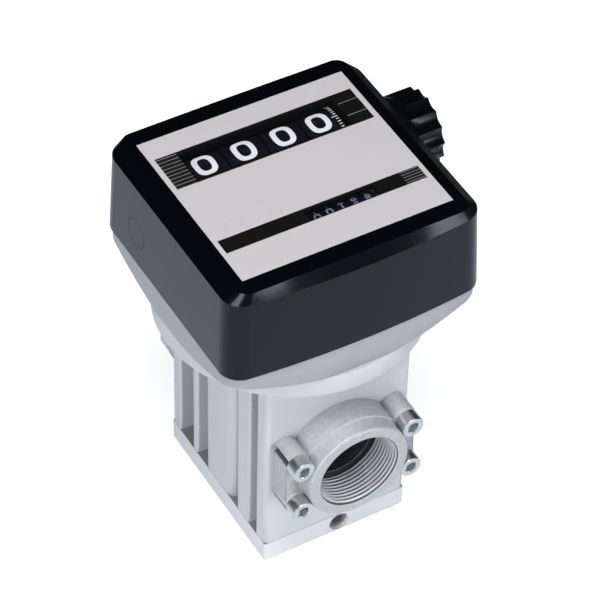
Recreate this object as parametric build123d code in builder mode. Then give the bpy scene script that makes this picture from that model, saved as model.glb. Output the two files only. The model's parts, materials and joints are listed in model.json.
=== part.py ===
from build123d import *
from math import acos, atan2, cos, degrees, hypot, pi, radians, sin, sqrt, tan
import os

# Oil flow meter with a pair of rotor gears and a mechanical register, in millimetres.
# The origin is the middle of the base plate's underside. Z is up, the front port faces -Y,
# and the display reads along +X, so the reset knob is on the +X side.

# Fits
fit_gap = 0.05
running_gap = 0.08
seat_gap = 0.3

# Rotor gears and their chamber, with the heights of a rotor tooth in modules
rotor_module = 2.5
rotor_teeth = 14
rotor_addendum = 0.8
rotor_dedendum = 1.1
pressure_angle = 25.0
flank_gap = 0.15
flank_steps = 3
chamber_tip_gap = 0.3
chamber_wall = 4.0
gear_end_gap = 0.3

# Meter body, base plate and the round chamber cover
body_side_wall = 6.7
body_depth = 106.0
body_height = 123.8
body_corner = 3.0
base_thickness = 14.2
base_corner = 1.2
base_edge = 0.8
chamber_cover_rim = 9.05
chamber_cover_thickness = 13.5
chamber_cover_edge = 1.2

# Open side pockets: from front to rear a post, a gap, a rib, a gap, the pad, a gap, a rib,
# a pocket and a post
front_post = 10.3
front_rib_gap = 7.6
front_pad_gap = 5.9
pad_half_width = 15.8
pad_round = 6.0
rear_pad_gap = 7.7
rear_rib = 5.5
rear_post = 9.7
pocket_depth = 20.0
rib_round = 1.6

# Shafts, bushes and seals of the chamber
shaft_radius = 4.0
bush_wall = 2.0
bush_length = 10.0
lip_seal_radius = 8.0
lip_seal_height = 5.0
key_width = 3.0
key_height = 3.0
key_length = 18.0
seal_width = 2.2
seal_height = 2.0
seal_offset = 0.9

# Threaded ports on their flanges
port_above_base = 59.3
port_thread_radius = 23.9
port_thread_length = 21.5
port_floor = 2.0
duct_radius = 19.0
mouth_wall = 6.4
mouth_ring_length = 9.0
mouth_chamfer = 1.0
neck_wall = 7.4
boss_radius = 6.8
boss_inset_x = 10.7
boss_spread = 31.4
ear_inner_lap = 6.0
ear_inset = 0.6
ear_setback = 1.0
flange_seal_land = 2.5

# Screws
flange_screw_radius = 4.0
flange_screw_head_radius = 6.5
flange_screw_head_height = 8.0
flange_screw_end_wall = 0.4
case_screw_radius = 3.0
case_screw_head_radius = 5.0
case_screw_head_height = 6.0
case_screw_reach = 16.0
case_screw_inset_x = 7.0
case_screw_inset_y = 5.2
small_screw_radius = 2.0
small_screw_head_radius = 3.6
small_screw_head_height = 2.6
small_screw_reach = 9.0
floor_screw_out = 7.9
floor_screw_back = 2.9

# Drain plug in the front edge of the base plate
drain_wall = 1.1
drain_x = 3.0
drain_lift = 0.2
drain_depth = 22.0
plug_length = 10.0
plug_recess = 2.2

# Register housing
case_wall = 3.0
register_rim = 6.0
register_bowl_height = 14.5
rim_inset = 1.1
bowl_slope = 1.7
cover_bow = 4.7
cover_corner = 12.0
cover_rear_room = 11.8
skirt_draw_in = 1.9
bevel_height = 5.5
bevel_width = 6.6
platform_draw_in = 5.2
platform_bow = 0.4
platform_corner = 7.0
boss_inset = 8.5
cover_boss_radius = 4.6
cover_boss_height = 20.0
cover_screw_seat = 7.0
cover_screw_reach = 10.0

# Dial plate and its two windows
dial_side = 15.0
dial_margin_x = 6.0
dial_margin_y = 10.3
dial_thickness = 1.0
counter_window_side = 0.6
counter_window_depth = 23.6
totaliser_window_side = 2.175
totaliser_window_depth = 8.6
totaliser_window_shift = 1.6
window_forward = 2.0
window_lap = 1.0

# Number wheels of the counter that resets
counter_y = 31.4
number_radius = 30.5
number_floor_gap = 7.4
number_top_gap = 1.6
number_wheel_gap = 1.6
number_count = 4
number_rim = 2.2
number_web = 3.0
number_hub = 7.0
reset_shaft_radius = 3.0
sleeve_radius = 5.0

# Totaliser wheels
totaliser_y = -28.7
total_radius = 9.0
total_top_gap = 1.9
total_pitch = 7.45
total_wheel_gap = 0.55
total_count = 5
total_x = 12.0
total_shaft_radius = 1.5

# Half widths of a gear tooth as shares of its pitch, and heights of a spur tooth in modules
tooth_tip_share = 0.12
tooth_root_share = 0.32
spur_addendum = 0.8
spur_dedendum = 1.1

# Gear train from the drive shaft to the counter and the totaliser
spur_module = 1.5
first_teeth = 22
first_gear_width = 3.2
first_gear_lift = 0.6
worm_wheel_teeth = 88
worm_wheel_width = 5.0
worm_wheel_tooth = 0.9
worm_radius = 2.9
worm_length = 17.0
worm_mesh_gap = 0.2
worm_shaft_radius = 2.0
worm_shaft_top = 6.0
tab_lift = 2.0
worm_foot = 1.5
counter_gear_width = 3.0
counter_gear_gap = 2.0
counter_teeth = 12
idler_teeth = 36
idler_drop = 16.757
idler_pin_radius = 2.0

# Sheet frame that carries the register's shafts
plate_thickness = 1.5
worm_plate_reach = 4.7
plate_gap = 0.4
left_plate_gap = 3.0
right_plate_gap = 2.0
plate_foot = 10.0
plate_margin = 9.0
pin_margin = 4.5
foot_clearance = 1.8
tab_half_width = 4.2

# Transfer pinions between neighbouring number wheels
transfer_angle = -40.0
transfer_teeth = 8
transfer_module = 0.85
transfer_width = 6.0
transfer_shaft_radius = 1.5
transfer_gap = 0.3

# Reset knob on the right and the closed hole opposite
knob_radius = 22.2
knob_length = 23.2
knob_collar = 8.0
knob_gap = 0.5
knob_lobes = 15
knob_flute_radius = 2.9
knob_flute_depth = 1.6
knob_end_chamfer = 1.2
knob_stem_radius = 7.0
knob_stem_length = 9.0
knob_shaft_end = 6.0
side_plug_radius = 8.5
side_plug_seam = 0.25


def tip_radius(teeth, module):
    """Outer radius of a spur gear."""
    return module * (teeth / 2 + spur_addendum)


# Meter body, its ports and its screws
gear_spacing = rotor_module * rotor_teeth
gear_x = gear_spacing / 2
chamber_radius = gear_spacing / 2 + rotor_module * rotor_addendum + chamber_tip_gap
chamber_wall_radius = chamber_radius + chamber_wall
body_width = 2 * (gear_x + chamber_radius + body_side_wall)
body_top = base_thickness + body_height
cover_plate_top = body_top + chamber_cover_thickness
bush_radius = shaft_radius + bush_wall
web_half_width = body_width / 2 - pocket_depth
pocket_front = front_post - body_depth / 2
pocket_rear = body_depth / 2 - rear_post
port_height = base_thickness + port_above_base
flange_length = port_thread_length + port_floor
port_face = body_depth / 2 + flange_length
boss_length = flange_length - mouth_ring_length
mouth_ring_radius = port_thread_radius + mouth_wall
neck_radius = port_thread_radius + neck_wall
boss_x = body_width / 2 - boss_inset_x
flange_seal_radius = duct_radius + flange_seal_land
flange_screw_reach = rear_post - seat_gap - flange_screw_end_wall
drain_radius = base_thickness / 2 - drain_wall
drain_z = base_thickness / 2 + drain_lift
screw_x = body_width / 2 - case_screw_inset_x
screw_y = body_depth / 2 - case_screw_inset_y
case_screw_places = [(x, y) for x in (-screw_x, screw_x) for y in (-screw_y, screw_y)]
chamber_cover_radius = hypot(screw_x, screw_y) + case_screw_head_radius + chamber_cover_rim
floor_screw_x = screw_x + floor_screw_out
floor_screw_y = screw_y - floor_screw_back
floor_screw_places = [
    (x, y) for x in (-floor_screw_x, floor_screw_x) for y in (-floor_screw_y, floor_screw_y)
]

# Gear train, number wheels and the sheet frame between them
register_floor = cover_plate_top + case_wall
first_gear_z = register_floor + first_gear_lift
worm_y = 0.0
worm_x = gear_x + spur_module * first_teeth
mid_plate_x = worm_x - worm_plate_reach
number_pitch = (2 * (mid_plate_x - plate_gap) + number_wheel_gap) / number_count
number_width = number_pitch - number_wheel_gap
total_width = total_pitch - total_wheel_gap
units_x = number_pitch * (number_count - 1) / 2
counter_z = register_floor + number_floor_gap + number_radius
platform_top = counter_z + number_radius + number_top_gap + case_wall
totaliser_z = platform_top - case_wall - total_top_gap - total_radius
worm_wheel_radius = counter_y - worm_y - worm_radius - worm_mesh_gap
worm_wheel_x = worm_x - worm_wheel_width / 2
counter_gear_x = worm_wheel_x + worm_wheel_width + counter_gear_gap
right_plate_x = counter_gear_x + counter_gear_width + right_plate_gap
left_plate_x = -units_x - number_width / 2 - left_plate_gap - plate_thickness
transfer_distance = number_radius + transfer_gap + tip_radius(transfer_teeth, transfer_module)
transfer_y = counter_y + transfer_distance * cos(radians(transfer_angle))
transfer_z = counter_z + transfer_distance * sin(radians(transfer_angle))
arch_half_width = tip_radius(first_teeth, spur_module) + foot_clearance
arch_top = first_gear_z + first_gear_width + first_gear_lift
plate_front = totaliser_y - plate_margin
plate_rear = counter_y + plate_margin
tab_z = counter_z + worm_length / 2 + tab_lift
foot_screw_places = [
    (x, y)
    for x in (left_plate_x + plate_thickness + plate_foot / 2, mid_plate_x - plate_foot / 2,
              right_plate_x - plate_foot / 2)
    for y in ((plate_front - arch_half_width) / 2, (plate_rear + arch_half_width) / 2)
]

# Windows, dial plate and register housing round the wheels
counter_window_width = number_count * number_pitch - number_wheel_gap + 2 * counter_window_side
counter_window_y = counter_y - window_forward
totaliser_window_width = total_count * total_pitch + 2 * totaliser_window_side
totaliser_window_x = total_x - totaliser_window_shift
totaliser_window_y = totaliser_y - window_forward
windows = (
    (0, counter_window_y, counter_window_width, counter_window_depth),
    (totaliser_window_x, totaliser_window_y, totaliser_window_width, totaliser_window_depth),
)
dial_width = counter_window_width + 2 * dial_side
skirt_half_x = dial_width / 2 + dial_margin_x + bevel_width
cover_half_x = skirt_half_x + skirt_draw_in
cover_half_y = counter_y + number_radius + cover_rear_room
skirt_half_y = cover_half_y - skirt_draw_in
platform_half_y = skirt_half_y - platform_draw_in
dial_depth = 2 * (platform_half_y - dial_margin_y)
rim_bottom = cover_plate_top + register_bowl_height
skirt_bottom = rim_bottom + register_rim
skirt_top = platform_top - bevel_height
wall_screw_x = cover_half_x - boss_inset
wall_screw_y = cover_half_y - cover_bow - boss_inset
wall_screw_places = [(x, y) for x in (-wall_screw_x, wall_screw_x) for y in (-wall_screw_y, wall_screw_y)]
knob_x = cover_half_x + knob_gap
knob_end_x = knob_x + knob_length


def save(piece, label):
    """Label one finished piece and write it as its own STEP file."""
    piece.part.label = label
    export_step(piece.part, f"parts/{label}.step")


def across(x, y=counter_y, z=counter_z):
    """A plane square to X, so that its sketches have Y to the right and Z up."""
    return Plane(origin=(x, y, z), x_dir=(0, 1, 0), z_dir=(1, 0, 0))


def facing(y, side):
    """A plane on the port axis that looks out of the front (side -1) or the rear (side 1)."""
    return Plane(origin=(0, side * y, port_height), x_dir=(-side, 0, 0), z_dir=(0, side, 0))


def trapezoid_teeth(teeth, module, phase):
    """Corner points of a spur gear whose first tooth points at the angle phase."""
    pitch = 360 / teeth
    root = module * (teeth / 2 - spur_dedendum)
    tip = tip_radius(teeth, module)
    corners = []
    for tooth in range(teeth):
        middle = phase + tooth * pitch
        for radius, share in ((root, -tooth_root_share), (tip, -tooth_tip_share),
                              (tip, tooth_tip_share), (root, tooth_root_share)):
            angle = radians(middle + share * pitch)
            corners.append((radius * cos(angle), radius * sin(angle)))
    return corners


def mating_phase(driver_phase, driver_teeth, driven_teeth, direction):
    """Phase of a driven gear so that its gap takes the driver's tooth on the line of centres."""
    lag = (direction - driver_phase) * driver_teeth / driven_teeth
    return direction + 180 + lag + 180 / driven_teeth


def involute(angle):
    """How far an involute has turned round its base circle, in radians, at a pressure angle in radians."""
    return tan(angle) - angle


def rotor_outline(phase):
    """Corner points of a rotor gear with involute flanks, its first tooth at the angle phase."""
    pitch_radius = gear_spacing / 2
    base = pitch_radius * cos(radians(pressure_angle))
    tip = pitch_radius + rotor_module * rotor_addendum
    root = pitch_radius - rotor_module * rotor_dedendum
    half_tooth = (pi * rotor_module / 2 - flank_gap) / 2 / pitch_radius + involute(radians(pressure_angle))
    flank = [(root, half_tooth)]
    for step in range(flank_steps + 1):
        radius = base + (tip - base) * step / flank_steps
        flank.append((radius, half_tooth - involute(acos(base / radius))))
    corners = []
    for tooth in range(rotor_teeth):
        middle = radians(phase + tooth * 360 / rotor_teeth)
        for radius, turn in [(r, -t) for r, t in flank] + flank[::-1]:
            corners.append((radius * cos(middle + turn), radius * sin(middle + turn)))
    return corners


def bowed_outline(half_x, half_y, bow, corner):
    """A rounded square whose front and rear edges bow outwards."""
    with BuildSketch() as outline:
        with BuildLine():
            ThreePointArc((-half_x, -half_y + bow), (0, -half_y), (half_x, -half_y + bow))
            Line((half_x, -half_y + bow), (half_x, half_y - bow))
            ThreePointArc((half_x, half_y - bow), (0, half_y), (-half_x, half_y - bow))
            Line((-half_x, half_y - bow), (-half_x, -half_y + bow))
        make_face()
        fillet(outline.vertices(), corner)
    return outline.sketch


def cover_form(inset, bottom, top_drop):
    """Solid form of the register cover, drawn in by inset, with its flat top lowered by top_drop."""
    with BuildPart() as form:
        with BuildSketch(Plane.XY.offset(bottom)):
            add(bowed_outline(cover_half_x - inset, cover_half_y - inset, cover_bow, cover_corner - inset))
        with BuildSketch(Plane.XY.offset(skirt_top - top_drop)):
            add(bowed_outline(skirt_half_x - inset, skirt_half_y - inset, cover_bow, cover_corner - inset))
        loft(ruled=True)
        with BuildSketch(Plane.XY.offset(skirt_top - top_drop)):
            add(bowed_outline(skirt_half_x - inset, skirt_half_y - inset, cover_bow, cover_corner - inset))
        with BuildSketch(Plane.XY.offset(platform_top - top_drop)):
            add(bowed_outline(skirt_half_x - bevel_width - inset, platform_half_y - inset,
                              platform_bow, platform_corner - inset))
        loft(ruled=True)
    return form.part


def bowl_form(inset, bottom):
    """Solid form of the register base: a flared bowl inside the upright outline of its rim."""
    with BuildPart() as form:
        with BuildSketch(Plane.XY.offset(bottom)):
            add(bowed_outline(cover_half_x - rim_inset - inset, cover_half_y - rim_inset - inset,
                              cover_bow, cover_corner - inset))
        extrude(amount=skirt_bottom - bottom)
        flare = inset * sqrt(1 + bowl_slope ** 2)
        with BuildSketch(Plane.XZ):
            with BuildLine():
                foot = chamber_cover_radius - flare + bowl_slope * (bottom - cover_plate_top)
                lip = chamber_cover_radius - flare + bowl_slope * (skirt_bottom - cover_plate_top)
                Polyline((0, bottom), (foot, bottom), (lip, skirt_bottom), (0, skirt_bottom), close=True)
            make_face()
        revolve(axis=Axis.Z, mode=Mode.INTERSECT)
    return form.part


def seal_ring(height):
    """Cut or fill the seal ring round both gear bores on the plane of the current sketch."""
    SlotCenterToCenter(gear_spacing, 2 * (chamber_radius + seal_offset + seal_width + height))
    SlotCenterToCenter(gear_spacing, 2 * (chamber_radius + seal_offset - height), mode=Mode.SUBTRACT)


# Base plate, with the lower bearings, the seal groove and the drain bore
with BuildPart() as base_plate:
    with BuildSketch():
        RectangleRounded(body_width, body_depth, base_corner)
    extrude(amount=base_thickness)
    chamfer(base_plate.faces().sort_by(Axis.Z)[0].outer_wire().edges(), base_edge)
    with BuildSketch(Plane.XY.offset(base_thickness)):
        seal_ring(fit_gap)
    extrude(amount=-seal_height, mode=Mode.SUBTRACT)
    with Locations((gear_x, 0, base_thickness)):
        Hole(bush_radius + fit_gap, depth=bush_length)
    with Locations((-gear_x, 0, base_thickness)):
        Hole(shaft_radius + fit_gap, depth=bush_length)
    with Locations(Plane.XY.rotated((180, 0, 0))):
        with Locations(*case_screw_places):
            CounterBoreHole(case_screw_radius + fit_gap, case_screw_head_radius + fit_gap,
                            case_screw_head_height + fit_gap, depth=base_thickness)
    with BuildSketch(Plane(origin=(drain_x, -body_depth / 2, drain_z), x_dir=(1, 0, 0), z_dir=(0, 1, 0))):
        Circle(drain_radius)
    extrude(amount=drain_depth, mode=Mode.SUBTRACT)
save(base_plate, "base_plate")

with BuildPart() as drain_plug:
    with BuildSketch(Plane(origin=(drain_x, plug_recess - body_depth / 2, drain_z),
                           x_dir=(1, 0, 0), z_dir=(0, 1, 0))):
        Circle(drain_radius - fit_gap)
    extrude(amount=plug_length)
save(drain_plug, "drain_plug")

# Meter body: an upright block, open at its sides between posts, ribs and the pads over the chamber
pocket_length = pocket_rear - pocket_front
pocket_middle = (pocket_front + pocket_rear) / 2
pocket_x = web_half_width + pocket_depth / 2
front_rib_face = pocket_front + front_rib_gap
front_rib = -pad_half_width - front_pad_gap - front_rib_face
rear_rib_y = pad_half_width + rear_pad_gap + rear_rib / 2
with BuildSketch(Plane.XY.offset(base_thickness)) as side_pockets:
    with Locations((-pocket_x, pocket_middle), (pocket_x, pocket_middle)):
        Rectangle(pocket_depth, pocket_length)
    for y, width in ((front_rib_face + front_rib / 2, front_rib), (0, 2 * pad_half_width),
                     (rear_rib_y, rear_rib)):
        with Locations((-pocket_x, y), (pocket_x, y)):
            Rectangle(pocket_depth, width, mode=Mode.SUBTRACT)
    with Locations((-gear_x, 0), (gear_x, 0)):
        Circle(chamber_wall_radius, mode=Mode.SUBTRACT)

with BuildPart() as meter_body:
    with BuildSketch(Plane.XY.offset(base_thickness)) as block:
        RectangleRounded(body_width, body_depth, body_corner)
        add(side_pockets.sketch, mode=Mode.SUBTRACT)
        mouths = [v for v in block.vertices()
                  if abs(abs(v.X) - body_width / 2) < fit_gap
                  and pocket_front - fit_gap < v.Y < pocket_rear + fit_gap]
        pad_corners = [v for v in mouths if abs(abs(v.Y) - pad_half_width) < fit_gap]
        fillet([v for v in mouths if v not in pad_corners], rib_round)
        fillet([v for v in block.vertices()
                if abs(abs(v.X) - body_width / 2) < fit_gap and abs(abs(v.Y) - pad_half_width) < fit_gap],
               pad_round)
    extrude(amount=body_height)
    with BuildSketch(Plane.XY.offset(base_thickness)):
        with Locations((-gear_x, 0), (gear_x, 0)):
            Circle(chamber_radius)
    extrude(amount=body_height, mode=Mode.SUBTRACT)
    with BuildSketch(facing(body_depth / 2, -1)):
        Circle(duct_radius)
    extrude(amount=-body_depth, mode=Mode.SUBTRACT)
    for side in (-1, 1):
        with BuildSketch(facing(body_depth / 2, side)):
            Circle(flange_seal_radius + seal_width + fit_gap)
            Circle(flange_seal_radius - fit_gap, mode=Mode.SUBTRACT)
        extrude(amount=-seal_height, mode=Mode.SUBTRACT)
        with BuildSketch(facing(body_depth / 2, side)):
            with GridLocations(2 * boss_x, boss_spread, 2, 2):
                Circle(flange_screw_radius + fit_gap)
        extrude(amount=-flange_screw_reach - seat_gap, mode=Mode.SUBTRACT)
    with BuildSketch(Plane.XY.offset(base_thickness)):
        with Locations(*case_screw_places):
            Circle(case_screw_radius + fit_gap)
    extrude(amount=case_screw_reach, mode=Mode.SUBTRACT)
    with BuildSketch(Plane.XY.offset(body_top)):
        with Locations(*case_screw_places):
            Circle(case_screw_radius + fit_gap)
    extrude(amount=-case_screw_reach, mode=Mode.SUBTRACT)
save(meter_body, "meter_body")

# Round chamber cover, with the upper bearings, the lip seal's seat and the screw seats
with BuildPart() as chamber_cover:
    with BuildSketch(Plane.XY.offset(body_top)):
        Circle(chamber_cover_radius)
    extrude(amount=chamber_cover_thickness)
    chamfer(chamber_cover.faces().sort_by(Axis.Z)[0].edges(), chamber_cover_edge)
    with BuildSketch(Plane.XY.offset(body_top)):
        seal_ring(fit_gap)
    extrude(amount=seal_height, mode=Mode.SUBTRACT)
    with BuildSketch(Plane.XY.offset(body_top)):
        with Locations((-gear_x, 0)):
            Circle(shaft_radius + fit_gap)
        with Locations((gear_x, 0)):
            Circle(bush_radius + fit_gap)
    extrude(amount=bush_length, mode=Mode.SUBTRACT)
    with Locations((gear_x, 0, cover_plate_top)):
        CounterBoreHole(shaft_radius + seat_gap, lip_seal_radius + fit_gap, lip_seal_height,
                        depth=chamber_cover_thickness)
    with Locations(Plane.XY.offset(cover_plate_top)):
        with Locations(*case_screw_places):
            CounterBoreHole(case_screw_radius + fit_gap, case_screw_head_radius + fit_gap,
                            case_screw_head_height + fit_gap, depth=chamber_cover_thickness)
        with Locations(*floor_screw_places):
            Hole(small_screw_radius + fit_gap, depth=small_screw_reach)
save(chamber_cover, "chamber_cover")

# Square-section seals in the faces of the base plate and the chamber cover
for label, height in (("base_seal", base_thickness - seal_height), ("chamber_cover_seal", body_top)):
    with BuildPart() as seal:
        with BuildSketch(Plane.XY.offset(height)):
            seal_ring(0)
        extrude(amount=seal_height)
    save(seal, label)

# Port flanges: a threaded neck with a stepped mouth ring, and an ear between two screw bosses on each side.
# Each boss is open on its outer side, away from the ear, where the screw's shank shows.
slot_width = boss_radius + fit_gap
slot_height = flange_screw_radius + fit_gap
ear_width = ear_inner_lap + boss_radius - ear_inset
for label, side in (("front_port_flange", -1), ("rear_port_flange", 1)):
    with BuildPart() as flange:
        with BuildSketch(facing(body_depth / 2, side)):
            with GridLocations(2 * boss_x, boss_spread, 2, 2):
                Circle(boss_radius)
        extrude(amount=boss_length)
        with BuildSketch(facing(body_depth / 2, side)):
            with GridLocations(2 * boss_x + slot_width, boss_spread + slot_height, 2, 2):
                Rectangle(slot_width, slot_height)
        extrude(amount=boss_length, mode=Mode.SUBTRACT)
        with BuildSketch(facing(body_depth / 2, side)):
            with GridLocations(2 * (boss_x - ear_inner_lap) + ear_width, 0, 2, 1):
                Rectangle(ear_width, boss_spread)
        extrude(amount=boss_length - ear_setback)
        with BuildSketch(facing(body_depth / 2, side)):
            Circle(neck_radius)
        extrude(amount=boss_length)
        with BuildSketch(facing(body_depth / 2 + boss_length, side)):
            Circle(mouth_ring_radius)
        extrude(amount=mouth_ring_length)
        chamfer(flange.faces().sort_by(Axis.Y)[::-side][0].outer_wire().edges(), mouth_chamfer)
        with BuildSketch(facing(body_depth / 2, side)):
            Circle(duct_radius)
        extrude(amount=flange_length, mode=Mode.SUBTRACT)
        with BuildSketch(facing(port_face, side)):
            Circle(port_thread_radius)
        extrude(amount=-port_thread_length, mode=Mode.SUBTRACT)
        with BuildSketch(facing(body_depth / 2, side)):
            with GridLocations(2 * boss_x, boss_spread, 2, 2):
                Circle(flange_screw_radius + fit_gap)
        extrude(amount=boss_length, mode=Mode.SUBTRACT)
    save(flange, label)

for label, side in (("front_port_seal", -1), ("rear_port_seal", 1)):
    with BuildPart() as port_seal:
        with BuildSketch(facing(body_depth / 2, side)):
            Circle(flange_seal_radius + seal_width)
            Circle(flange_seal_radius, mode=Mode.SUBTRACT)
        extrude(amount=-seal_height)
    save(port_seal, label)

# Four screws on each flange
for label, side in (("front_flange_screws", -1), ("rear_flange_screws", 1)):
    with BuildPart() as flange_screws:
        for radius, length in ((flange_screw_head_radius, flange_screw_head_height),
                               (flange_screw_radius, -boss_length - flange_screw_reach)):
            with BuildSketch(facing(body_depth / 2 + boss_length, side)):
                with GridLocations(2 * boss_x, boss_spread, 2, 2):
                    Circle(radius)
            extrude(amount=length)
    save(flange_screws, label)

# Screws that hold the base plate from below and the chamber cover from above
for label, seat, thickness, upward in (
        ("base_screws", case_screw_head_height, base_thickness, 1),
        ("chamber_cover_screws", cover_plate_top - case_screw_head_height, chamber_cover_thickness, -1)):
    shank = thickness - case_screw_head_height + case_screw_reach - seat_gap
    with BuildPart() as case_screws:
        for radius, length in ((case_screw_head_radius, -case_screw_head_height), (case_screw_radius, shank)):
            with BuildSketch(Plane.XY.offset(seat)):
                with Locations(*case_screw_places):
                    Circle(radius)
            extrude(amount=upward * length)
    save(case_screws, label)

# Rotor gears, one to one: the oil turns them on its way round the outside of the pair
gear_bottom = base_thickness + gear_end_gap
gear_height = body_height - 2 * gear_end_gap
with BuildPart() as drive_rotor_gear:
    with BuildSketch(Plane(origin=(gear_x, 0, gear_bottom))):
        Polygon(*rotor_outline(0), align=None)
        Circle(shaft_radius + fit_gap, mode=Mode.SUBTRACT)
        with Locations((0, shaft_radius)):
            Rectangle(key_width + 2 * fit_gap, key_height + 2 * fit_gap, mode=Mode.SUBTRACT)
    extrude(amount=gear_height)
save(drive_rotor_gear, "drive_rotor_gear")

with BuildPart() as driven_rotor_gear:
    with BuildSketch(Plane(origin=(-gear_x, 0, gear_bottom))):
        Polygon(*rotor_outline(mating_phase(0, rotor_teeth, rotor_teeth, 180)), align=None)
        Circle(bush_radius + fit_gap, mode=Mode.SUBTRACT)
    extrude(amount=gear_height)
save(driven_rotor_gear, "driven_rotor_gear")

with BuildPart() as gear_bushes:
    for bottom in (gear_bottom, gear_bottom + gear_height - bush_length):
        with BuildSketch(Plane(origin=(-gear_x, 0, bottom))):
            Circle(bush_radius)
            Circle(shaft_radius + running_gap, mode=Mode.SUBTRACT)
        extrude(amount=bush_length)
save(gear_bushes, "gear_bushes")

with BuildPart() as gear_pin:
    with BuildSketch(Plane(origin=(-gear_x, 0, base_thickness - bush_length))):
        Circle(shaft_radius)
    extrude(amount=body_height + 2 * bush_length)
save(gear_pin, "gear_pin")

# Drive shaft, keyed to its gear and carried by a bush at each end
shaft_bottom = base_thickness - bush_length
key_bottom = base_thickness + body_height / 2 - key_length / 2
with BuildPart() as drive_shaft:
    with BuildSketch(Plane(origin=(gear_x, 0, shaft_bottom))):
        Circle(shaft_radius)
    extrude(amount=first_gear_z + first_gear_width - shaft_bottom)
    with BuildSketch(Plane(origin=(gear_x, 0, key_bottom - fit_gap))):
        with Locations((0, shaft_radius)):
            Rectangle(key_width + 2 * fit_gap, key_height + 2 * fit_gap)
    extrude(amount=key_length + 2 * fit_gap, mode=Mode.SUBTRACT)
save(drive_shaft, "drive_shaft")

with BuildPart() as drive_key:
    with BuildSketch(Plane(origin=(gear_x, shaft_radius, key_bottom))):
        Rectangle(key_width, key_height)
    extrude(amount=key_length)
save(drive_key, "drive_key")

for label, bottom in (("lower_shaft_bush", base_thickness - bush_length), ("upper_shaft_bush", body_top)):
    with BuildPart() as bush:
        with BuildSketch(Plane(origin=(gear_x, 0, bottom))):
            Circle(bush_radius)
            Circle(shaft_radius + running_gap, mode=Mode.SUBTRACT)
        extrude(amount=bush_length if bottom < body_top else chamber_cover_thickness - lip_seal_height)
    save(bush, label)

with BuildPart() as lip_seal:
    with BuildSketch(Plane(origin=(gear_x, 0, cover_plate_top - lip_seal_height))):
        Circle(lip_seal_radius)
        Circle(shaft_radius + running_gap, mode=Mode.SUBTRACT)
    extrude(amount=lip_seal_height)
save(lip_seal, "lip_seal")

# First gear pair in the register base, from the drive shaft to the worm shaft
with BuildPart() as drive_pinion:
    with BuildSketch(Plane(origin=(gear_x, 0, first_gear_z))):
        Polygon(*trapezoid_teeth(first_teeth, spur_module, 0), align=None)
        Circle(shaft_radius + fit_gap, mode=Mode.SUBTRACT)
    extrude(amount=first_gear_width)
save(drive_pinion, "drive_pinion")

worm_shaft_length = counter_z + worm_length / 2 + worm_shaft_top - register_floor + worm_foot
with BuildPart() as worm_shaft:
    with BuildSketch(Plane(origin=(worm_x, worm_y, register_floor - worm_foot))):
        Circle(worm_shaft_radius)
    extrude(amount=worm_shaft_length)
    with BuildSketch(Plane(origin=(worm_x, worm_y, counter_z - worm_length / 2))):
        Circle(worm_radius)
    extrude(amount=worm_length)
save(worm_shaft, "worm_shaft")

with BuildPart() as worm_shaft_gear:
    with BuildSketch(Plane(origin=(worm_x, worm_y, first_gear_z))):
        Polygon(*trapezoid_teeth(first_teeth, spur_module, mating_phase(0, first_teeth, first_teeth, 0)),
                align=None)
        Circle(worm_shaft_radius + fit_gap, mode=Mode.SUBTRACT)
    extrude(amount=first_gear_width)
save(worm_shaft_gear, "worm_shaft_gear")

# Register base: a shallow flared bowl with a floor, standing on the chamber cover
with BuildPart() as register_base:
    add(bowl_form(0, cover_plate_top))
    add(bowl_form(case_wall, register_floor), mode=Mode.SUBTRACT)
    with BuildSketch(Plane.XY.offset(register_floor)):
        with Locations(*wall_screw_places):
            Circle(cover_boss_radius)
    extrude(amount=skirt_bottom - register_floor)
    add(bowl_form(0, cover_plate_top), mode=Mode.INTERSECT)
    with BuildSketch(Plane.XY.offset(cover_plate_top)):
        with Locations((gear_x, 0)):
            Circle(lip_seal_radius + seat_gap)
        with Locations(*floor_screw_places):
            Circle(small_screw_radius + fit_gap)
    extrude(amount=case_wall, mode=Mode.SUBTRACT)
    with BuildSketch(Plane.XY.offset(register_floor)):
        with Locations((worm_x, worm_y)):
            Circle(worm_shaft_radius + running_gap)
    extrude(amount=-worm_foot - fit_gap, mode=Mode.SUBTRACT)
    with BuildSketch(Plane.XY.offset(cover_plate_top)):
        with Locations(*wall_screw_places):
            Circle(small_screw_head_radius + fit_gap)
    extrude(amount=skirt_bottom - cover_screw_seat - cover_plate_top, mode=Mode.SUBTRACT)
    with BuildSketch(Plane.XY.offset(cover_plate_top)):
        with Locations(*wall_screw_places):
            Circle(small_screw_radius + fit_gap)
    extrude(amount=skirt_bottom - cover_plate_top, mode=Mode.SUBTRACT)
    with BuildSketch(Plane.XY.offset(register_floor)):
        with Locations(*foot_screw_places):
            Circle(small_screw_radius + fit_gap)
    extrude(amount=-case_wall, mode=Mode.SUBTRACT)
save(register_base, "register_base")

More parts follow.
